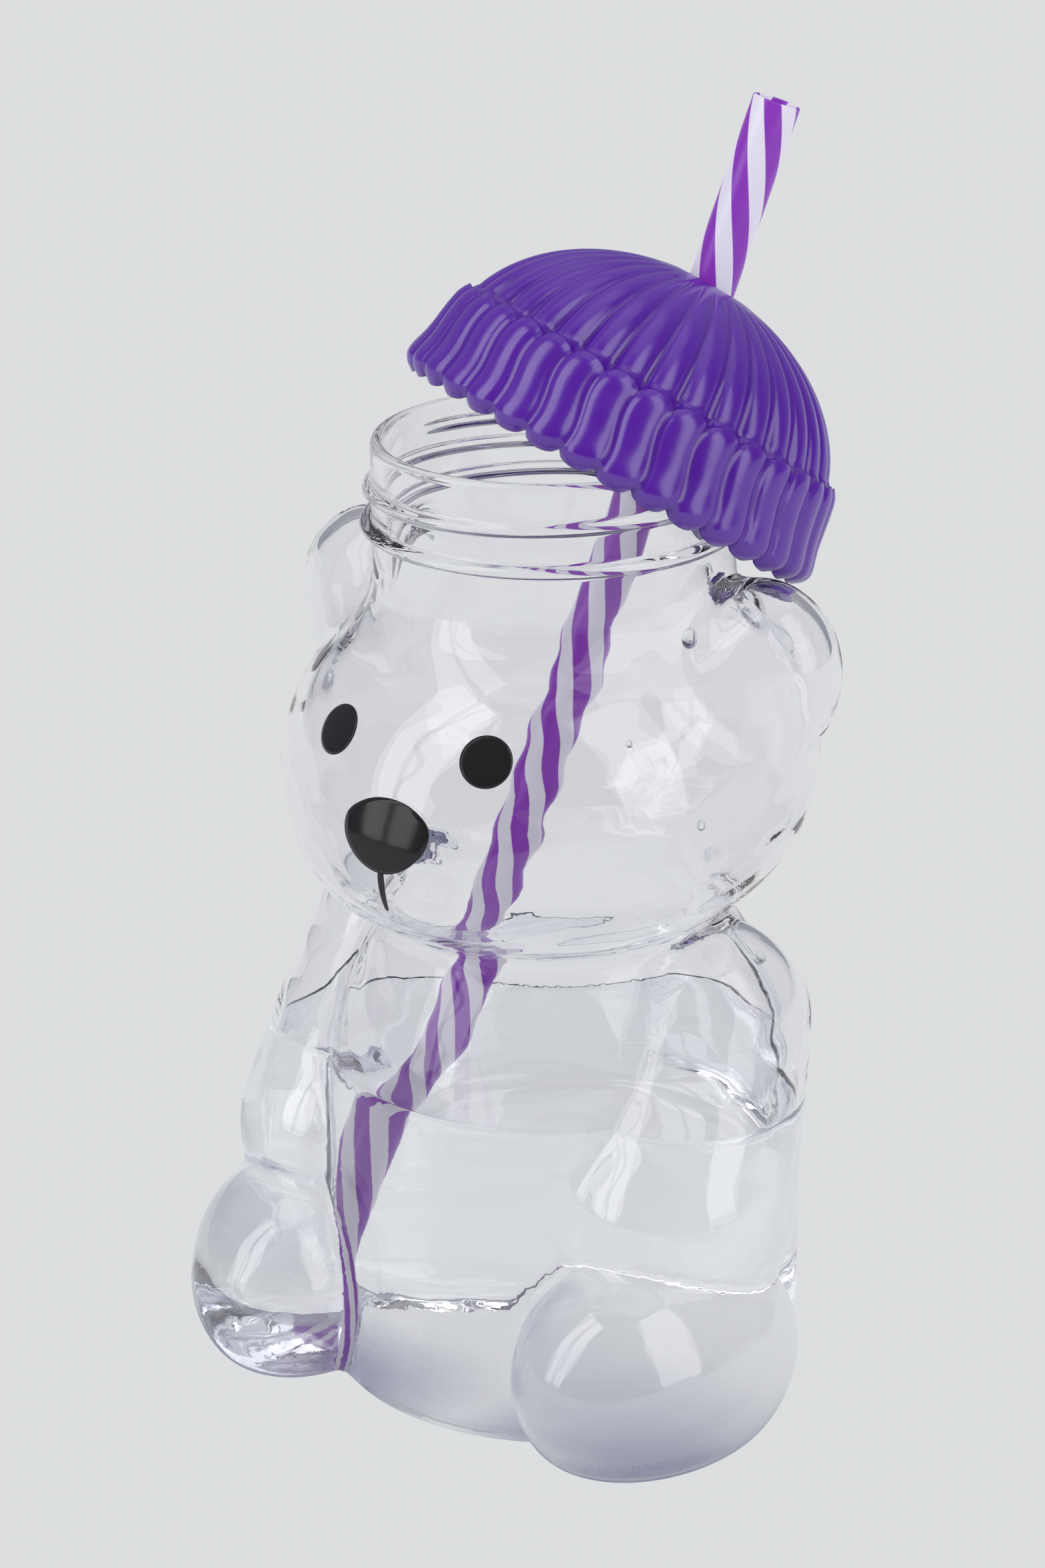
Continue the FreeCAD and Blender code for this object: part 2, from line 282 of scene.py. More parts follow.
def by_angle(points, loop):
    """The vertices of a loop in order round Z."""
    return loop[np.argsort(np.arctan2(points[loop, 1], points[loop, 0]))]


def spread(field, points, quads, rounds=6):
    """Evens out the vertices along the surface and keeps the open rim where it is."""
    pairs = quad_edges(quads)
    pairs = np.vstack((pairs, pairs[:, ::-1]))
    moving = np.ones(len(points), bool)
    moving[open_rim(quads)] = False
    degree = np.maximum(np.bincount(pairs[:, 0], minlength=len(points)), 1)[:, None]
    for _ in range(rounds):
        total = np.zeros_like(points)
        np.add.at(total, pairs[:, 0], points[pairs[:, 1]])
        slide = total / degree - points
        normal = gradients(field, points)
        normal /= lengths(normal)[:, None]
        slide -= normal * (slide * normal).sum(axis=1)[:, None]
        points = np.where(moving[:, None], points + slide / 2, points)
        points = pull_onto(field, points, 1)
    return points


def level_mesh(field, low, high):
    """Vertices and quads of a field's zero level, open where it leaves the top of the box."""
    axes = [np.arange(high[a], low[a] - grid_step, -grid_step)[::-1] for a in range(3)]
    grid = np.stack(np.meshgrid(*axes, indexing="ij"), axis=-1)
    values = field(grid.reshape(-1, 3)).reshape(grid.shape[:3])
    inside = values < 0
    wide, deep, tall = np.array(inside.shape) - 1
    corners = sum(inside[i:wide + i, j:deep + j, k:tall + k].astype(int)
                  for i in (0, 1) for j in (0, 1) for k in (0, 1))
    mixed = (corners > 0) & (corners < 8)
    number = np.full(mixed.shape, -1)
    number[mixed] = np.arange(mixed.sum())
    cells = np.argwhere(mixed)
    total = np.zeros((len(cells), 3))
    hits = np.zeros(len(cells))
    quads = []
    for axis in range(3):
        one, two = (axis + 1) % 3, (axis + 2) % 3
        along, first, second = np.eye(3, dtype=int)[[axis, one, two]]
        for corner in (0 * first, first, second, first + second):
            start, end = cells + corner, cells + corner + along
            a, b = values[tuple(start.T)], values[tuple(end.T)]
            cross = (a < 0) != (b < 0)
            share = np.where(cross, a / np.where(cross, a - b, 1), 0)[:, None]
            spot = grid[tuple(start.T)] * (1 - share) + grid[tuple(end.T)] * share
            total[cross] += spot[cross]
            hits[cross] += 1
        lower, upper = np.delete(inside, -1, axis), np.delete(inside, 0, axis)
        edges = np.argwhere(lower != upper)
        limit = np.array(mixed.shape)
        sides = edges[:, [one, two]]
        edges = edges[((sides > 0) & (sides < limit[[one, two]])).all(axis=1)]
        ring = [number[tuple((edges - first - second).T)], number[tuple((edges - second).T)],
                number[tuple(edges.T)], number[tuple((edges - first).T)]]
        ring = np.column_stack(ring)
        outward = lower[tuple(edges.T)][:, None]
        quads.append(np.where(outward, ring, ring[:, ::-1]))
    quads = np.vstack(quads)
    points = pull_onto(field, total / hits[:, None])
    return spread(field, points, quads), quads


# %% [markdown]
# ## Neck, thread and rim
# The neck is turned about one axis, so a turned grid suits it better than the field: it keeps the bead, the
# screw thread and the thin rim crisp. The thread is the same cylinder pushed out wherever it lies near a
# rising helix, with ends that fade into the wall. The turned grid goes up the outside, over the rim and
# down the bore.

# %% Neck
neck_steps = 256
join_height = 148.4
rim_height = 165.0
flange_radius = 31.75
flange_height = 150.8
flange_half_thickness = 1.1
thread_pitch = 4.2
thread_depth = 1.4
thread_half_root = 1.25
thread_half_crest = 0.35
thread_start = rim_height - 10.8
thread_turns = 1.5
thread_fade_turns = 0.07
bead_rows = 13
rim_rows = 11
bore_rows = 12
neck_row_step = 0.32
join_gap = 0.7
bead_gap = 0.5
rim_gap = 1.2
bore_gap = 0.8


def thread_height(angle, height):
    """How far the thread stands out of the neck."""
    rise = np.zeros_like(angle)
    for lap in (0, 1):
        turns = angle / (2 * math.pi) + lap
        ends = smooth_step(0, thread_fade_turns, np.minimum(turns, thread_turns - turns))
        away = np.abs(height - thread_start - thread_pitch * turns)
        rise = np.maximum(rise, ends * (1 - smooth_step(thread_half_crest, thread_half_root, away)))
    return rise * thread_depth


def ring_at(radius, height, angle):
    """Points round Z; radius and height may change from point to point."""
    level = np.broadcast_to(height, angle.shape)
    return np.column_stack((radius * np.cos(angle), radius * np.sin(angle), level))


def neck_grid():
    """Rings of the neck from the outside foot, over the rim, to the inside foot."""
    bead = [flange_height - flange_half_thickness * math.cos(t) for t in np.linspace(0, math.pi, bead_rows)]
    straight = np.arange(bead[-1] + bead_gap, rim_height - rim_gap, neck_row_step)
    foot = join_height + join_gap
    rim_half = (neck_radius - bore_radius) / 2
    angle = np.arange(neck_steps) * 2 * math.pi / neck_steps
    rings = []
    for height in [foot, *bead, *straight]:
        share = np.clip(1 - ((height - flange_height) / flange_half_thickness) ** 2, 0, 1)
        radius = neck_radius + (flange_radius - neck_radius) * math.sqrt(share) + thread_height(angle, height)
        rings.append(ring_at(radius, height, angle))
    for t in np.linspace(0, math.pi, rim_rows):
        radius = (neck_radius + bore_radius) / 2 + rim_half * math.cos(t)
        rings.append(ring_at(radius, rim_height - rim_half + rim_half * math.sin(t), angle))
    for height in np.linspace(rim_height - rim_half - bore_gap, foot, bore_rows):
        rings.append(ring_at(bore_radius, height, angle))
    return np.array(rings)


def turned_quads(rows, steps, first=0):
    """Quads of a grid of rings, with the outside on the right of the way up."""
    lower = np.arange((rows - 1) * steps).reshape(rows - 1, steps) + first
    ahead = np.roll(lower, -1, axis=1)
    return np.stack((lower, ahead, ahead + steps, lower + steps), axis=-1).reshape(-1, 4)


def zipped(points, lower, upper):
    """Triangles between two loops that both run round Z but have different numbers of vertices."""
    def closed(loop):
        turn = np.arctan2(points[loop, 1], points[loop, 0])
        return np.append(loop, loop[0]), np.append(turn, turn[0] + 2 * math.pi)
    (lower, low_turn), (upper, high_turn) = closed(lower), closed(upper)
    last_low, last_high = len(lower) - 1, len(upper) - 1
    i = j = 0
    faces = []
    while i < last_low or j < last_high:
        on_lower = j == last_high or (i < last_low and low_turn[i + 1] < high_turn[j + 1])
        ahead = lower[i + 1] if on_lower else upper[j + 1]
        faces.append((lower[i], ahead, upper[j]))
        i, j = (i + 1, j) if on_lower else (i, j + 1)
    return faces


# %% [markdown]
# ## The bottle, joined up
# Outside, inside and neck become one closed wall: the two field meshes are zipped to the two feet of the
# neck. The inside faces are turned round, so that every normal points out of the plastic. Light bends
# correctly only then.

# %% Bottle shell


def new_mesh(name, points, faces):
    """A mesh from points in millimetres."""
    mesh = bpy.data.meshes.new(name)
    mesh.from_pydata((np.asarray(points) * MM).tolist(), [], [tuple(int(i) for i in face) for face in faces])
    return mesh


def linked(name, mesh):
    """A smooth object of the scene that shows a mesh."""
    mesh.polygons.foreach_set("use_smooth", [True] * len(mesh.polygons))
    piece = bpy.data.objects.new(name, mesh)
    scene.collection.objects.link(piece)
    print(name, len(mesh.vertices), "vertices", len(mesh.polygons), "faces")
    return piece


def new_piece(name, points, faces, body, slot, node=None):
    """A piece from points in millimetres that rides on a body and may stand for a CAD node."""
    mesh = new_mesh(name, points, faces)
    mesh.validate()
    piece = linked(name, mesh)
    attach(piece, body)
    if node:
        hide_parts(node)
    return piece


field_low = np.array((-62.0, -60.0, -2.0))
field_high = np.array((62.0, 52.0, join_height))
outside, outside_quads = level_mesh(outer_field, field_low, field_high)
inside, inside_quads = level_mesh(inner_field, field_low, field_high)
rings = neck_grid()
neck_points = rings.reshape(-1, 3)
shell_points = np.vstack((outside, inside, neck_points))
inside_first = len(outside)
neck_first = inside_first + len(inside)
outer_rim = by_angle(outside, open_rim(outside_quads))
inner_rim = by_angle(inside, open_rim(inside_quads)) + inside_first
outer_foot = by_angle(shell_points, np.arange(neck_steps) + neck_first)
inner_foot = by_angle(shell_points, np.arange(neck_steps) + neck_first + (len(rings) - 1) * neck_steps)
shell_faces = outside_quads.tolist()
shell_faces += (inside_quads[:, ::-1] + inside_first).tolist()
shell_faces += turned_quads(len(rings), neck_steps, neck_first).tolist()
shell_faces += zipped(shell_points, outer_rim, outer_foot)
shell_faces += [face[::-1] for face in zipped(shell_points, inner_rim, inner_foot)]
bottle = new_piece("bear_shell", shell_points, shell_faces, "bottle", "clear_plastic", "bottle_shell")

# %% [markdown]
# ## Printed face
# The eyes, the nose and the mouth are ink on the outside of the head. A flat decal would float off the
# curved face, so each mark is drawn as an outline in front of the face and dropped onto the bottle's field,
# once for the top of the ink and once for its underside.

# %% Ink marks
ink_thickness = 0.12
ink_gap = 0.02
ink_steps = 72
ink_rings = 9
eye_radius = 4.3
eye_offset = 14.4
eye_height = 123.6
nose_half_width = 8.3
nose_half_height = 5.9
nose_height = 110.6
nose_shares = ((0.0, 1.0), (0.52, 0.86), (0.94, 0.42), (0.92, -0.2), (0.52, -0.78), (0.0, -1.0))
mouth_length = 6.9
mouth_top_half_width = 0.7
mouth_tip_half_width = 0.4
mouth_overlap_share = 0.9
mouth_corner_power = 0.35
landing_rounds = 10
in_front = -70.0
into_face = np.array((0.0, 1.0, 0.0))


def smooth_curve(knots, steps, closed=False):
    """Points of a curve that passes through the knots, evenly shared out between them."""
    knots = np.asarray(knots, float)
    if closed:
        padded = np.vstack((knots[-1:], knots, knots[:2]))
    else:
        padded = np.vstack((2 * knots[0] - knots[1], knots, 2 * knots[-1] - knots[-2]))
    spans = len(padded) - 3
    at = np.linspace(0, spans, steps, endpoint=not closed)
    span = np.minimum(at.astype(int), spans - 1)
    t = (at - span)[:, None]
    a, b, c, d = (padded[span + i] for i in range(4))
    return b + t / 2 * (c - a + t * (2 * a - 5 * b + 4 * c - d + t * (3 * (b - c) + d - a)))


def dropped(points, direction, level):
    """Points moved along a direction until they lie at that height above the bottle."""
    for _ in range(landing_rounds):
        slope = gradients(outer_field, points) @ direction
        points = points - direction * ((outer_field(points) - level) / slope)[:, None]
    return points


def ink_film(outline, centre, direction):
    """Points and faces of a thin closed film inside an outline."""
    steps = len(outline)
    shares = np.linspace(0, 1, ink_rings + 1)[1:, None, None]
    flat = np.vstack((centre[None], (centre + shares * (outline - centre)).reshape(-1, 3)))
    top = dropped(flat, direction, ink_gap + ink_thickness)
    under = dropped(flat, direction, ink_gap)
    fan = [(0, 1 + i, 1 + (i + 1) % steps) for i in range(steps)]
    fan += turned_quads(ink_rings, steps, 1)[:, ::-1].tolist()
    size = len(flat)
    faces = [tuple(face) for face in fan] + [tuple(size + i for i in face[::-1]) for face in fan]
    edge = size - steps
    for i in range(steps):
        j = (i + 1) % steps
        faces.append((edge + j, edge + i, size + edge + i, size + edge + j))
    return np.vstack((top, under)), faces


def eye_film(side):
    middle = np.array((side * eye_offset, in_front, eye_height))
    middle = dropped(middle[None], into_face, 0)[0]
    outward = gradients(outer_field, middle[None])[0]
    outward /= np.linalg.norm(outward)
    across = np.cross((0.0, 0.0, 1.0), outward)
    across /= np.linalg.norm(across)
    upward = np.cross(outward, across)
    turn = np.linspace(0, 2 * math.pi, ink_steps, endpoint=False)[:, None]
    start = middle + outward * eye_radius
    outline = start + eye_radius * (np.cos(turn) * across + np.sin(turn) * upward)
    return ink_film(outline, start, -outward)


def nose_and_mouth_films():
    """The nose and the mouth line under it, as two films of one mark."""
    right_half = [(x * nose_half_width, z * nose_half_height) for x, z in nose_shares]
    left_half = [(-x, z) for x, z in right_half[-2:0:-1]]
    nose = smooth_curve(right_half + left_half, ink_steps, closed=True)[::-1]
    nose = np.column_stack((nose[:, 0], np.full(ink_steps, in_front), nose[:, 1] + nose_height))
    mouth_top = nose_height - nose_half_height * mouth_overlap_share
    mouth_tip = nose_height - nose_half_height - mouth_length
    turn = np.linspace(0, 2 * math.pi, ink_steps, endpoint=False)
    drop = (1 - np.sin(turn)) / 2
    half = mouth_top_half_width + (mouth_tip_half_width - mouth_top_half_width) * drop
    width = half * np.sign(np.cos(turn)) * np.abs(np.cos(turn)) ** mouth_corner_power
    mouth = np.column_stack((width, np.full(ink_steps, in_front), mouth_top + (mouth_tip - mouth_top) * drop))
    nose_points, nose_faces = ink_film(nose, nose.mean(axis=0), into_face)
    mouth_points, mouth_faces = ink_film(mouth, mouth.mean(axis=0), into_face)
    shift = len(nose_points)
    mouth_faces = [tuple(shift + i for i in face) for face in mouth_faces]
    return np.vstack((nose_points, mouth_points)), nose_faces + mouth_faces


left_eye = new_piece("left_eye_ink", *eye_film(1), "bottle", "black_ink", "left_eye_print")
right_eye = new_piece("right_eye_ink", *eye_film(-1), "bottle", "black_ink", "right_eye_print")
nose = new_piece("nose_and_mouth_ink", *nose_and_mouth_films(), "bottle", "black_ink", "nose_and_mouth_print")

# %% [markdown]
# ## Water
# The bottle is filled to about a third of its height. Water against plastic bends light far less than air
# against plastic, so the water must touch the wall: its mesh reaches a little way into the plastic, which
# gives the right bending with no thin gap of air. Its top is flat, with the small upward curve that water
# makes where it meets a wall.

# %% Water
water_height = 58.0
water_sink = 0.15
rim_rounds = 6
level_ways = np.array((1.0, 1.0, 0.0))
meniscus = ((0.0, 0.1), (0.5, 0.04), (1.2, 0.0))


def water_field(points):
    return inner_field(points, water_sink)


def water_mesh():
    top = water_height + meniscus[0][1]
    points, quads = level_mesh(water_field, field_low, np.array((*field_high[:2], top)))
    loop = by_angle(points, open_rim(quads))
    points[loop, 2] = top
    points[loop] = pull_onto(water_field, points[loop], rim_rounds, level_ways)
    slope = gradients(water_field, points[loop]) * level_ways
    slope /= lengths(slope)[:, None]
    faces = quads.tolist()
    previous = loop
    for inset, rise in meniscus[1:]:
        ring = points[loop] - slope * inset
        ring[:, 2] = water_height + rise
        current = np.arange(len(loop)) + len(points)
        points = np.vstack((points, ring))
        faces += np.column_stack((previous, np.roll(previous, -1), np.roll(current, -1), current)).tolist()
        previous = current
    faces.append(previous.tolist())
    return points, faces


water = new_piece("water_fill", *water_mesh(), "bottle", "clear_plastic")

# %% [markdown]
# ## Knit-cap lid
# The lid is one moulding with the same rib repeated all round: a rounded finger on the turned-up cuff and,
# above it, a rib that runs up the dome and fades out near the straw's hole. So we model one rib as a narrow
# sector, inside and outside in one closed outline, and let Geometry Nodes turn copies of it about the lid's
# axis and weld them. Changing the rib count or the rib itself then changes the whole lid.

# %% One rib of the lid
rib_count = 34
rib_columns = 9
rib_depth = 1.15
lid_radius = 37.8
cuff_height = 17.1
cuff_shares = ((0.94, 0.0, 0.6), (0.985, 0.08, 1.0), (1.0, 0.19, 1.1), (0.972, 0.43, 1.1),
               (0.95, 0.73, 1.0), (0.932, 0.9, 0.9), (0.905, 1.0, 0.6))
cuff_rows = 30
finger_end_lift = 1.5
finger_top_drop = 1.6
finger_sway_degrees = 1.2
finger_end_share = 0.3
finger_top_share = 0.6
groove_roundness = 0.96
crease_radius = 33.6
crease_drop = 0.4
crease_lip = 0.6
crease_depth_share = 0.6
crease_lift_share = 0.8
dome_foot_share = 0.55
dome_radius = 34.1
dome_half_height = 25.8
dome_base_height = 10.5
dome_rows = 40
dome_rib_depth = 1.75
rib_fade = (math.radians(64), math.radians(75))
rib_foot_turn = 0.25
lid_wall = 1.6
straw_radius = 4.0
hole_clearance = 1.6
hole_radius = straw_radius + hole_clearance
hole_round = 0.6
hole_rows = 5
skirt_bore = 31.9
skirt_radius = 33.4
skirt_foot = 2.95
land_height = 17.1
land_radius = 29.0
gap_top_height = 12.0
gap_radius = 35.0
gap_top_slope = 0.5
inner_dome_rows = 16
gap_curl_height = 3.4
gap_lip_height = 1.6


def groove(across):
    """0 on the crest of a rib and 1 in the groove beside it: round on top, sharp at the bottom."""
    return (1 - np.sqrt(1 - groove_roundness * across * across)) / (1 - math.sqrt(1 - groove_roundness))


def rib_rows():
    """Rows of (radius, height, groove depth, groove lift, sway): up outside, round the hole, down inside."""
    rows = []
    for radius_share, height_share, depth_share in smooth_curve(cuff_shares, cuff_rows):
        low = max(0, 1 - height_share / finger_end_share)
        high = max(0, (height_share - finger_top_share) / (1 - finger_top_share))
        lift = finger_end_lift * low ** 2 - finger_top_drop * high ** 2
        sway = finger_sway_degrees * math.sin(2 * math.pi * height_share)
        rows.append((lid_radius * radius_share, cuff_height * height_share, rib_depth * depth_share,
                     lift, sway))
    rows.append((crease_radius, cuff_height - crease_drop, rib_depth * crease_depth_share,
                 -finger_top_drop * crease_lift_share, 0))
    first = math.asin((cuff_height + crease_lip - dome_base_height) / dome_half_height)
    last = math.acos((hole_radius + hole_round) / dome_radius)
    for turn in np.linspace(first, last, dome_rows):
        fade = 1 - smooth_step(*rib_fade, turn)
        near_cuff = 1 - smooth_step(first, first + rib_foot_turn, turn)
        rows.append((dome_radius * math.cos(turn), dome_base_height + dome_half_height * math.sin(turn),
                     dome_rib_depth * fade * math.sqrt(math.cos(turn)),
                     -finger_top_drop * dome_foot_share * near_cuff, 0))
    crown = dome_base_height + dome_half_height * math.sin(last)
    for turn in np.linspace(0, math.pi / 2, hole_rows)[1:]:
        rows.append((hole_radius + hole_round * (1 - math.sin(turn)),
                     crown - hole_round * (1 - math.cos(turn)), 0, 0, 0))
    half_wide, half_high = dome_radius - rib_depth - lid_wall, dome_half_height - rib_depth - lid_wall
    hole_turn, land_turn = math.acos(hole_radius / half_wide), math.acos(land_radius / half_wide)
    for turn in np.linspace(hole_turn, land_turn, inner_dome_rows):
        rows.append((half_wide * math.cos(turn), dome_base_height + half_high * math.sin(turn), 0, 0, 0))
    inner = ((land_radius, land_height), (skirt_bore, land_height), (skirt_bore, skirt_foot),
             (skirt_radius, skirt_foot), (skirt_radius, gap_top_height),
             (skirt_radius + gap_top_slope, gap_top_height), (gap_radius, gap_curl_height),
             (gap_radius, gap_lip_height))
    return rows + [(radius, height, 0, 0, 0) for radius, height in inner]


def rib_sector():
    """Points and quads of one rib with its share of the inside, about Z, in millimetres."""
    half = math.pi / rib_count
    across = np.linspace(-1, 1, rib_columns)
    depth = groove(across)
    rows = []
    for radius, height, cut, lift, sway in rib_rows():
        turn = across * half + half + math.radians(sway)
        reach = radius - cut * depth
        rows.append(ring_at(reach, height + lift * depth, turn))
    count = len(rows)
    index = np.arange(count * rib_columns).reshape(count, rib_columns)
    above = np.roll(index, -1, axis=0)
    quads = np.stack((index[:, :-1], index[:, 1:], above[:, 1:], above[:, :-1]), axis=-1).reshape(-1, 4)
    return np.vstack(rows), quads


# %% [markdown]
# Geometry Nodes grow three pieces of this bottle: the lid from one rib, the lid's screw thread from a
# spiral and the drops from a few points. Each tree starts from the mesh of the piece's own object, takes
# its sizes through named inputs, makes all copies real and sets the material. The helpers below make such a
# tree, run it and keep the result as a plain mesh.

# %% Helpers for node trees


def new_tree(name, **inputs):
    """A Geometry Nodes tree, the identifiers of its inputs and their sockets; _ in a name is a space."""
    tree = bpy.data.node_groups.new(name, "GeometryNodeTree")
    tree.interface.new_socket("Geometry", in_out="INPUT", socket_type="NodeSocketGeometry")
    keys = {}
    for title, kind in dict(inputs, Finish="Material").items():
        socket = tree.interface.new_socket(title.replace("_", " "), in_out="INPUT",
                                           socket_type="NodeSocket" + kind)
        keys[title] = socket.identifier
    tree.interface.new_socket("Geometry", in_out="OUTPUT", socket_type="NodeSocketGeometry")
    return tree, keys, tree.nodes.new("NodeGroupInput").outputs


def add_node(tree, kind, **sockets):
    """A node whose inputs, named with _ for a space, are linked to a socket or set to a value."""
    node = tree.nodes.new(kind)
    for title, value in sockets.items():
        fill(tree, node.inputs[title.replace("_", " ")], value)
    return node


def fill(tree, socket, value):
    if isinstance(value, bpy.types.NodeSocket):
        tree.links.new(value, socket)
    else:
        socket.default_value = value


def maths(tree, operation, *values):
    node = tree.nodes.new("ShaderNodeMath")
    node.operation = operation
    for socket, value in zip(node.inputs, values):
        fill(tree, socket, value)
    return node.outputs[0]


def vector_maths(tree, operation, one, other):
    node = tree.nodes.new("ShaderNodeVectorMath")
    node.operation = operation
    fill(tree, node.inputs[0], one)
    fill(tree, node.inputs[1], other)
    return node.outputs["Value"]


def lead_out(tree, geometry, finish):
    real = add_node(tree, "GeometryNodeRealizeInstances", Geometry=geometry)
    paint = add_node(tree, "GeometryNodeSetMaterial", Geometry=real.outputs[0], Material=finish)
    add_node(tree, "NodeGroupOutput", Geometry=paint.outputs[0])


def grown(name, points, faces, grower, place, **values):
    """A plain mesh object made by running a node tree over a starting mesh, then put in its place."""
    tree, keys = grower
    source = bpy.data.objects.new(name + "_source", new_mesh(name + "_seed", points, faces))
    scene.collection.objects.link(source)
    modifier = source.modifiers.new("grow", "NODES")
    modifier.node_group = tree
    for title, value in values.items():
        modifier[keys[title]] = value
    mesh = bpy.data.meshes.new_from_object(source.evaluated_get(bpy.context.evaluated_depsgraph_get()))
    source.modifiers.remove(modifier)
    bpy.data.objects.remove(source)
    mesh.name = name
    mesh.transform(place)
    return linked(name, mesh)


def axis_place(origin, axis):
    """The matrix that carries a shape made about Z to an axis, with its origin at a point."""
    turn = Vector((0, 0, 1)).rotation_difference(Vector(axis))
    return Matrix.Translation(Vector(origin)) @ turn.to_matrix().to_4x4()


# %% [markdown]
# The first tree is a small machine for turned patterns: it puts points on the axis, turns one copy of the
# sector at each, makes the copies real and welds the seams.

# %% Turn copies about an axis


def turned_copies_tree():
    tree, keys, given = new_tree("turned_copies", Copies="Int", Weld_Distance="Float")
    axis_points = add_node(tree, "GeometryNodeMeshLine", Count=given["Copies"], Offset=(0, 0, 0))
    index = tree.nodes.new("GeometryNodeInputIndex")
    step = maths(tree, "DIVIDE", 2 * math.pi, given["Copies"])
    turn = add_node(tree, "ShaderNodeCombineXYZ", Z=maths(tree, "MULTIPLY", index.outputs[0], step))
    copies = add_node(tree, "GeometryNodeInstanceOnPoints", Points=axis_points.outputs[0],
                      Instance=given["Geometry"], Rotation=turn.outputs[0])
    real = add_node(tree, "GeometryNodeRealizeInstances", Geometry=copies.outputs[0])
    welded = add_node(tree, "GeometryNodeMergeByDistance", Geometry=real.outputs[0],
                      Distance=given["Weld Distance"])
    lead_out(tree, welded.outputs[0], given["Finish"])
    return tree, keys


# %% [markdown]
# ## Finishes
# Every finish is a small set of shader nodes around one Principled shader. Numbers that are the same all
# over the surface sit on the shader's own sockets; nodes only carry what changes from place to place. All
# patterns read Object coordinates, so they stay on the piece when it moves.

# %% Finish helper


def new_finish(name, **sockets):
    """A material, its node tree and its Principled shader's sockets; _ in a name is a space."""
    material = bpy.data.materials.new(name)
    material.use_nodes = True
    shader = material.node_tree.nodes["Principled BSDF"].inputs
    for title, value in sockets.items():
        shader[title.replace("_", " ")].default_value = value
    return material, material.node_tree, shader


def object_place(tree):
    return tree.nodes.new("ShaderNodeTexCoord").outputs["Object"]


def object_noise(tree, scale, detail=2.0):
    noise = add_node(tree, "ShaderNodeTexNoise", Vector=object_place(tree), Scale=scale, Detail=detail)
    return noise.outputs["Fac"]


def add_bump(tree, shader, height, distance, strength):
    bump = add_node(tree, "ShaderNodeBump", Height=height, Distance=distance, Strength=strength)
    fill(tree, shader["Normal"], bump.outputs["Normal"])


noise_span = (0.3, 0.7)


def vary(tree, noise, socket, low, high):
    """Lets a noise move a socket between two values."""
    span = add_node(tree, "ShaderNodeMapRange", Value=noise, From_Min=noise_span[0], From_Max=noise_span[1],
                    To_Min=low, To_Max=high)
    fill(tree, socket, span.outputs["Result"])


def soft_edge(tree, value, low, high):
    """0 below the low value and 1 above the high one, with a smooth step between."""
    edge = add_node(tree, "ShaderNodeMapRange", Value=value, From_Min=low, From_Max=high)
    edge.interpolation_type = "SMOOTHSTEP"
    return edge.outputs["Result"]


def two_colours(tree, share, one, other, socket):
    """Mixes two colours, each given as a value or a socket."""
    mix = tree.nodes.new("ShaderNodeMix")
    mix.data_type = "RGBA"
    fill(tree, mix.inputs["Factor"], share)
    for title, colour in (("A", one), ("B", other)):
        fill(tree, mix.inputs[title], colour if isinstance(colour, bpy.types.NodeSocket) else (*colour, 1))
    fill(tree, socket, mix.outputs["Result"])


def give(piece, material):
    piece.data.materials.clear()
    piece.data.materials.append(material)


# %% [markdown]
# Clear plastic is nearly all transmission. Two things make it plastic and not glass: a faint cool tint, and a
# surface that is a little wavy because it was blown against a mould. The index is set below that of real clear
# plastics. Water has its own index and only the faintest waves.

# %% Clear plastic and water
plastic_finish, tree, shader = new_finish("clear_plastic", Base_Color=(0.985, 0.985, 1.0, 1), Roughness=0.0,
                                          IOR=1.42, Transmission_Weight=1.0)
add_bump(tree, shader, object_noise(tree, scale=70.0, detail=1.0), distance=0.0006, strength=0.35)
give(bottle, plastic_finish)

water_finish, tree, shader = new_finish("still_water", Base_Color=(0.99, 0.995, 1.0, 1), Roughness=0.0,
                                        IOR=1.333, Transmission_Weight=1.0)
add_bump(tree, shader, object_noise(tree, scale=40.0, detail=0.0), distance=0.0002, strength=0.2)
give(water, water_finish)

# %% [markdown]
# The ink is a thick glossy black print, with a very slight orange-peel surface.

# %% Ink
ink, tree, shader = new_finish("black_ink", Roughness=0.12, IOR=1.5, Specular_IOR_Level=0.35)
speckle = object_noise(tree, scale=900.0)
two_colours(tree, speckle, (0.013, 0.012, 0.014), (0.018, 0.017, 0.019), shader["Base Color"])
add_bump(tree, shader, speckle, distance=0.00002, strength=0.3)
for mark in (left_eye, right_eye, nose):
    give(mark, ink)

# %% [markdown]
# The lid is purple polypropylene with a satin shine. Its colour drifts a little, as in any moulding, and a
# fine grain breaks up the highlights.

# %% Purple plastic
lid_finish, tree, shader = new_finish("purple_plastic", IOR=1.5, Specular_IOR_Level=1.0)
drift = object_noise(tree, scale=55.0, detail=3.0)
two_colours(tree, drift, (0.082, 0.002, 0.335), (0.096, 0.003, 0.370), shader["Base Color"])
vary(tree, object_noise(tree, scale=240.0, detail=3.0), shader["Roughness"], low=0.22, high=0.29)
add_bump(tree, shader, object_noise(tree, scale=1400.0), distance=0.00003, strength=0.35)

# %% [markdown]
# The lid can now be grown: one sector, turned and welded, then carried to where the lid rests. Its place
# and axis come from the frame's own turning joint, so the lid still spins about its middle.

# %% Grow the lid
lid_joint = joints["lid_turn"]
lid_place = axis_place(lid_joint["pos_m"], lid_joint["axis"])
weld_distance = 0.02
lid = grown("knit_cap_lid", *rib_sector(), turned_copies_tree(), lid_place,
            Copies=rib_count, Weld_Distance=weld_distance * MM, Finish=lid_finish)
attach(lid, "lid")
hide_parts("beanie_lid")

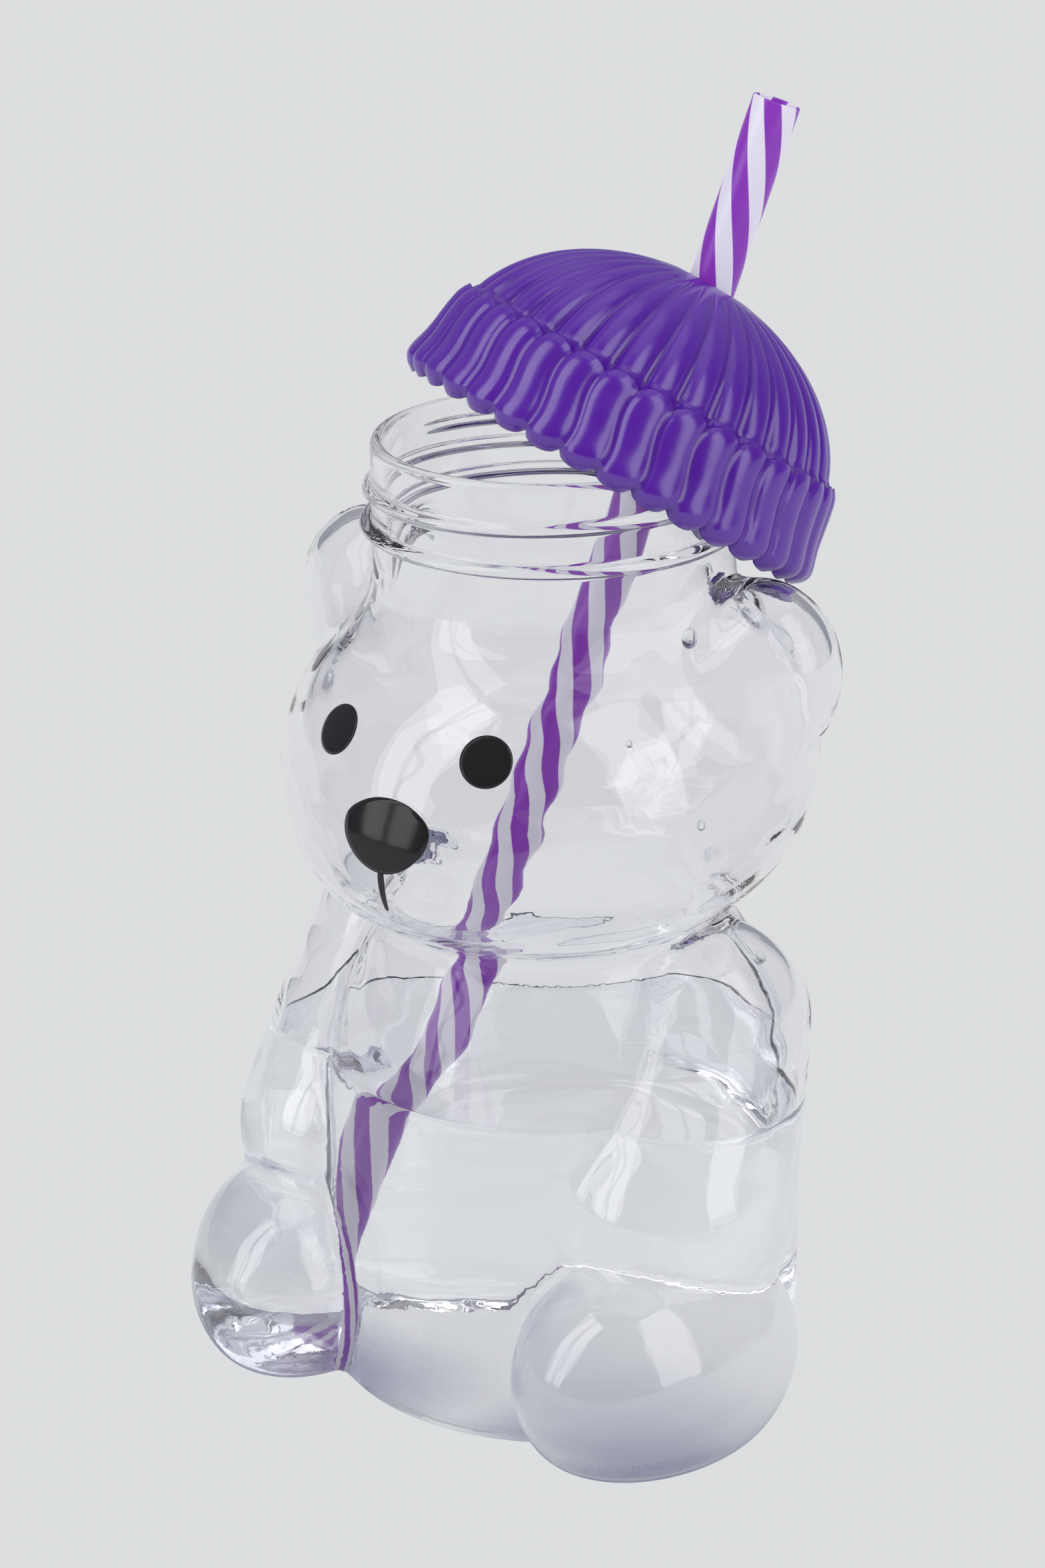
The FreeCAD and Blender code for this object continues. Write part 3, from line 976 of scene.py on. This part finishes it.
# %% [markdown]
# The lid's screw thread shows when the lid is lifted. The second tree winds a spiral inside the skirt,
# thins it out at both ends and sweeps a circle along it.

# %% Lid thread
lid_thread_turns = 1.25
lid_thread_above_skirt = 3.0
lid_thread_half = 1.05
lid_thread_sink = 0.15
thread_end_share = 0.06
spiral_steps = 96
circle_steps = 16


def swept_spiral_tree():
    tree, keys, given = new_tree("swept_spiral", Turns="Float", Radius="Float", Rise="Float",
                                 Half_Width="Float")
    spiral = add_node(tree, "GeometryNodeCurveSpiral", Resolution=spiral_steps, Rotations=given["Turns"],
                      Reverse=True, Start_Radius=given["Radius"], End_Radius=given["Radius"],
                      Height=given["Rise"])
    along = tree.nodes.new("GeometryNodeSplineParameter").outputs["Factor"]
    from_end = maths(tree, "MINIMUM", along, maths(tree, "SUBTRACT", 1.0, along))
    taper = maths(tree, "MINIMUM", 1.0, maths(tree, "DIVIDE", from_end, thread_end_share))
    circle = add_node(tree, "GeometryNodeCurvePrimitiveCircle", Resolution=circle_steps,
                      Radius=given["Half Width"])
    sweep = add_node(tree, "GeometryNodeCurveToMesh", Curve=spiral.outputs[0],
                     Profile_Curve=circle.outputs[0], Scale=taper)
    lead_out(tree, sweep.outputs[0], given["Finish"])
    return tree, keys


thread_place = lid_place @ Matrix.Translation((0, 0, (skirt_foot + lid_thread_above_skirt) * MM))
lid_thread = grown("lid_thread", [(0, 0, 0)], [], swept_spiral_tree(), thread_place,
                   Turns=lid_thread_turns, Radius=(skirt_bore + lid_thread_sink) * MM,
                   Rise=lid_thread_turns * thread_pitch * MM, Half_Width=lid_thread_half * MM,
                   Finish=lid_finish)
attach(lid_thread, "lid")

# %% [markdown]
# ## Drops
# A few drops cling to the inside of the wall. The third tree sets a small sphere on each of these places;
# the later a place comes in the list, the smaller its drop. A drop is a little taller than wide, and half
# of it sinks into the wall.

# %% Drops
drop_places = np.array(((28.4, -4.1, 134.0), (40.5, -1.2, 82.2), (39.6, -18.1, 111.1), (30.7, -24.7, 124.8)))
drop_radius = 1.4
drop_shrink = 0.5
drop_tall = 1.25
drop_steps = (24, 14)
drop_rounds = 4


def drops_tree():
    tree, keys, given = new_tree("drops_on_points", Radius="Float", Shrink="Float", Tall="Float")
    index = tree.nodes.new("GeometryNodeInputIndex").outputs[0]
    shrunk = maths(tree, "ADD", 1.0, maths(tree, "MULTIPLY", index, given["Shrink"]))
    size = maths(tree, "DIVIDE", 1.0, shrunk)
    tall = maths(tree, "MULTIPLY", size, given["Tall"])
    sizes = add_node(tree, "ShaderNodeCombineXYZ", X=size, Y=size, Z=tall)
    sphere = add_node(tree, "GeometryNodeMeshUVSphere", Segments=drop_steps[0], Rings=drop_steps[1],
                      Radius=given["Radius"])
    copies = add_node(tree, "GeometryNodeInstanceOnPoints", Points=given["Geometry"],
                      Instance=sphere.outputs["Mesh"], Scale=sizes.outputs[0])
    lead_out(tree, copies.outputs[0], given["Finish"])
    return tree, keys


drop_points = pull_onto(inner_field, drop_places, drop_rounds)
drops = grown("water_drops", drop_points, [], drops_tree(), Matrix.Identity(4),
              Radius=drop_radius * MM, Shrink=drop_shrink, Tall=drop_tall, Finish=water_finish)
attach(drops, "bottle")

# %% [markdown]
# ## Straw
# The straw is an extruded tube with stripes that go all the way through its wall, so the inside shows them
# too. A turned outline gives the tube with softly rounded ends. Its place and lean come from the packed
# solid.

# %% Straw
straw_wall = 0.6
straw_steps = 64
straw_length = 226.0
straw_rows = 40
lip_steps = 7
straw_axis = Vector(joints["straw_slide"]["axis"]).normalized()
straw_low, straw_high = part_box("straw")
straw_middle = (straw_low + straw_high) / 2
straw_foot = straw_middle - straw_axis * (straw_length * MM / 2)
straw_place = axis_place(straw_foot, straw_axis)


def turned_outline(outline, steps):
    """Points and quads of a closed outline of (radius, height) that is turned about Z."""
    turn = np.arange(steps) * 2 * math.pi / steps
    points = np.vstack([ring_at(radius, height, turn) for radius, height in outline])
    quads = turned_quads(len(outline), steps)
    first = np.arange(steps)
    last = first + (len(outline) - 1) * steps
    closing = np.column_stack((last, np.roll(last, -1), np.roll(first, -1), first))
    return points, np.vstack((quads, closing))


def placed(points, place):
    """Points in millimetres carried by a matrix in metres."""
    turn, shift = np.array(place.to_3x3()), np.array(place.translation) / MM
    return points @ turn.T + shift


def tube_outline():
    bore = straw_radius - straw_wall
    lip = straw_wall / 2
    up_side = [(straw_radius, z) for z in np.linspace(lip, straw_length - lip, straw_rows)]
    turns = np.linspace(0, math.pi, lip_steps)[1:-1]
    top = [(straw_radius - lip + lip * math.cos(t), straw_length - lip + lip * math.sin(t)) for t in turns]
    down_side = [(bore, z) for z in np.linspace(straw_length - lip, lip, straw_rows)]
    foot = [(straw_radius - lip - lip * math.cos(t), lip - lip * math.sin(t)) for t in turns]
    return up_side + top + down_side + foot


straw_points, straw_quads = turned_outline(tube_outline(), straw_steps)
straw = new_piece("striped_straw", placed(straw_points, straw_place), straw_quads, "straw",
                  "striped_plastic", "straw")

# %% [markdown]
# The stripes wind round the straw like a left-hand screw. A Mapping node turns Object coordinates so that its
# Z runs along the straw; the angle round the straw plus the height gives the place in the winding, and a
# narrow ramp cuts it into purple and white. Both colours also glow a little, which is painted light, because
# the straw came out too dark behind the plastic.

# %% Striped plastic
stripe_count = 4
stripe_pitch = 63.0
stripe_start = 0.19
stripe_edge = 0.1
stripe_purple = (0.21, 0.028, 0.395)
stripe_white = (0.64, 0.61, 0.71)

straw_finish, tree, shader = new_finish("striped_plastic", Roughness=0.3, IOR=1.49, Emission_Strength=0.3)
along = add_node(tree, "ShaderNodeMapping", Vector=object_place(tree), Location=straw_place.translation,
                 Rotation=straw_place.to_euler())
along.vector_type = "TEXTURE"
parts = add_node(tree, "ShaderNodeSeparateXYZ", Vector=along.outputs["Vector"]).outputs
around = maths(tree, "MULTIPLY", maths(tree, "ARCTAN2", parts["Y"], parts["X"]), stripe_count)
climb = maths(tree, "MULTIPLY_ADD", parts["Z"], 2 * math.pi * stripe_count / (stripe_pitch * MM),
              2 * math.pi * stripe_start)
wave = maths(tree, "SINE", maths(tree, "ADD", around, climb))
white_share = soft_edge(tree, wave, -stripe_edge, stripe_edge)
# The emission colour is painted light: the stripes glow in their own purple and white.
for title in ("Base Color", "Emission Color"):
    two_colours(tree, white_share, stripe_purple, stripe_white, shader[title])
add_bump(tree, shader, object_noise(tree, scale=500.0), distance=0.00005, strength=0.2)
give(straw, straw_finish)

# %% [markdown]
# ## Lid seal
# The soft white ring that meets the rim shows only when the lid is lifted. It is a turned outline with
# rounded corners.

# %% Lid seal
gasket_thickness = 1.6
gasket_seat_gap = 0.05
gasket_clearance = 0.3
gasket_lip = 1.0
gasket_round = 0.45
gasket_steps = 128
corner_degrees = (0, 30, 60, 90)
gasket_bottom = land_height - gasket_thickness - gasket_seat_gap
gasket_outer = skirt_bore - gasket_clearance
gasket_inner = bore_radius - gasket_lip


def rounded_ring(inner, outer, low, high, corner):
    outline = []
    for radius, height, start in ((outer - corner, low + corner, -90), (outer - corner, high - corner, 0),
                                  (inner + corner, high - corner, 90), (inner + corner, low + corner, 180)):
        for degrees in corner_degrees:
            turn = math.radians(start + degrees)
            outline.append((radius + corner * math.cos(turn), height + corner * math.sin(turn)))
    return outline


gasket_outline = rounded_ring(gasket_inner, gasket_outer, gasket_bottom, gasket_bottom + gasket_thickness,
                              gasket_round)
ring_points, ring_quads = turned_outline(gasket_outline, gasket_steps)
seal = new_piece("silicone_seal", placed(ring_points, lid_place), ring_quads, "lid_seal", "white_silicone",
                 "lid_gasket")

seal_finish, tree, shader = new_finish("white_silicone", IOR=1.41, Subsurface_Weight=0.15)
cloud = object_noise(tree, scale=120.0)
two_colours(tree, cloud, (0.74, 0.74, 0.76), (0.82, 0.82, 0.83), shader["Base Color"])
vary(tree, cloud, shader["Roughness"], low=0.45, high=0.6)
add_bump(tree, shader, object_noise(tree, scale=1800.0), distance=0.00003, strength=0.4)
give(seal, seal_finish)

# %% [markdown]
# ## Floor
# No horizon or shadow shows behind the bottle: a pale grey sweep fills the view. So the floor is a plain grey
# that glows by itself, which keeps it even. Rays that reach the floor through the plastic, and not straight
# from the camera, find a soft bluish painted shadow under the legs, where an object's own shade would fall,
# and this painted shade is what tints the legs.

# %% Floor
backdrop_colour = (0.716, 0.730, 0.738)
painted_shadow_colour = (0.25, 0.26, 0.38)
painted_shadow_middle = (0.036, -0.029, 0.0)
painted_shadow_reach = (0.012, 0.044)
floor_half = 6.0

floor_finish, tree, shader = new_finish("pale_floor", Base_Color=(0, 0, 0, 1), Roughness=1.0,
                                        Specular_IOR_Level=0.0, Emission_Strength=1.0)
# Painted shadow: the floor's glow turns a darker bluish grey near the legs for every ray except camera rays.
spot = add_node(tree, "ShaderNodeSeparateXYZ", Vector=object_place(tree)).outputs
mirrored = add_node(tree, "ShaderNodeCombineXYZ", X=maths(tree, "ABSOLUTE", spot["X"]), Y=spot["Y"])
lit = soft_edge(tree, vector_maths(tree, "DISTANCE", mirrored.outputs[0], painted_shadow_middle), *painted_shadow_reach)
seen = tree.nodes.new("ShaderNodeLightPath").outputs["Is Camera Ray"]
bright = maths(tree, "MAXIMUM", lit, seen)
two_colours(tree, bright, painted_shadow_colour, backdrop_colour, shader["Emission Color"])

floor_mesh = bpy.data.meshes.new("floor")
floor_corners = [(x * floor_half, y * floor_half, 0) for x, y in ((-1, -1), (1, -1), (1, 1), (-1, 1))]
floor_mesh.from_pydata(floor_corners, [], [(0, 1, 2, 3)])
floor = bpy.data.objects.new("floor", floor_mesh)
scene.collection.objects.link(floor)
give(floor, floor_finish)

# %% [markdown]
# ## Sky
# Clear plastic shows only what it bends and mirrors, so the light matters more than the material here. The
# sky is a grey that darkens towards the horizon, which draws the edges of the bottle. A studio has white
# cards behind the object and a dark room on the camera's side, so mirrored light is dimmed, most of all
# where it comes from that side. Scattered light is dimmed too.

# %% Sky
sky_stops = ((0.0, (0.52, 0.53, 0.65)), (0.25, (0.57, 0.58, 0.66)), (0.55, (0.75, 0.75, 0.78)),
             (1.0, (0.85, 0.85, 0.88)))
scattered_loss = 0.38
mirrored_loss = (0.5, 0.88)
camera_side = (-0.4, 0.3)

world = bpy.data.worlds.new("studio")
scene.world = world
world.use_nodes = True
sky = world.node_tree
sky_direction = sky.nodes.new("ShaderNodeTexCoord").outputs["Generated"]
sky_height = add_node(sky, "ShaderNodeSeparateXYZ", Vector=sky_direction).outputs["Z"]
sky_band = add_node(sky, "ShaderNodeValToRGB", Fac=sky_height)
for position, _ in sky_stops[1:-1]:
    sky_band.color_ramp.elements.new(position)
for element, (position, colour) in zip(sky_band.color_ramp.elements, sky_stops):
    element.position = position
    element.color = (*colour, 1)
towards_camera = vector_maths(sky, "DOT_PRODUCT", sky_direction, back)
dark_room = add_node(sky, "ShaderNodeMapRange", Value=towards_camera, From_Min=camera_side[0],
                     From_Max=camera_side[1], To_Min=mirrored_loss[0], To_Max=mirrored_loss[1])
ray = sky.nodes.new("ShaderNodeLightPath").outputs
loss = maths(sky, "ADD", maths(sky, "MULTIPLY", ray["Is Diffuse Ray"], scattered_loss),
             maths(sky, "MULTIPLY", ray["Is Glossy Ray"], dark_room.outputs["Result"]))
glow = sky.nodes["Background"].inputs
two_colours(sky, ray["Is Camera Ray"], sky_band.outputs["Color"], backdrop_colour, glow["Color"])
fill(sky, glow["Strength"], maths(sky, "SUBTRACT", 1.0, loss))

# %% [markdown]
# ## Windows
# Two tall soft panels in front, one of them with a bar down its middle, leave the broad upright bands on
# the head. A third panel lights the lid from above. A panel's power follows from its brightness and its
# area.

# %% Windows
panel_middle = Vector((0, 0, 0.11))
panel_distance = 1.2
window_height = 1.56


def soft_panel(name, way, width, height, brightness, slide=0.0):
    """A lit panel that faces the bottle from a direction given in the picture's own axes."""
    light = bpy.data.lights.new(name, "AREA")
    light.shape = "RECTANGLE"
    light.size, light.size_y = width, height
    light.energy = brightness * math.pi * width * height
    panel = bpy.data.objects.new(name, light)
    scene.collection.objects.link(panel)
    across, above, towards = way
    way = (right * across + up * above + back * towards).normalized()
    facing = way.to_track_quat("Z", "Y")
    panel.location = panel_middle + way * panel_distance + facing @ Vector((slide, 0, 0))
    panel.rotation_euler = facing.to_euler()


left_way = (-0.764, 0.40, 0.507)
soft_panel("left_window_outer", left_way, width=0.28, height=window_height, brightness=2.3, slide=-0.17)
soft_panel("left_window_inner", left_way, width=0.28, height=window_height, brightness=2.3, slide=0.17)
soft_panel("right_window", (0.603, 0.309, 0.734), width=0.64, height=window_height, brightness=1.7)
soft_panel("top_panel", (0.1, 0.94, 0.2), width=0.9, height=0.9, brightness=0.5)

# %% [markdown]
# Plain colours come out right with the standard view. A thick clear object needs many bounces: a ray that
# runs out of them turns black.

# %% Render limits
most_bounces = 40
mirror_bounces = 24
scene.view_settings.view_transform = "Standard"
scene.cycles.max_bounces = most_bounces
scene.cycles.transmission_bounces = most_bounces
scene.cycles.glossy_bounces = mirror_bounces
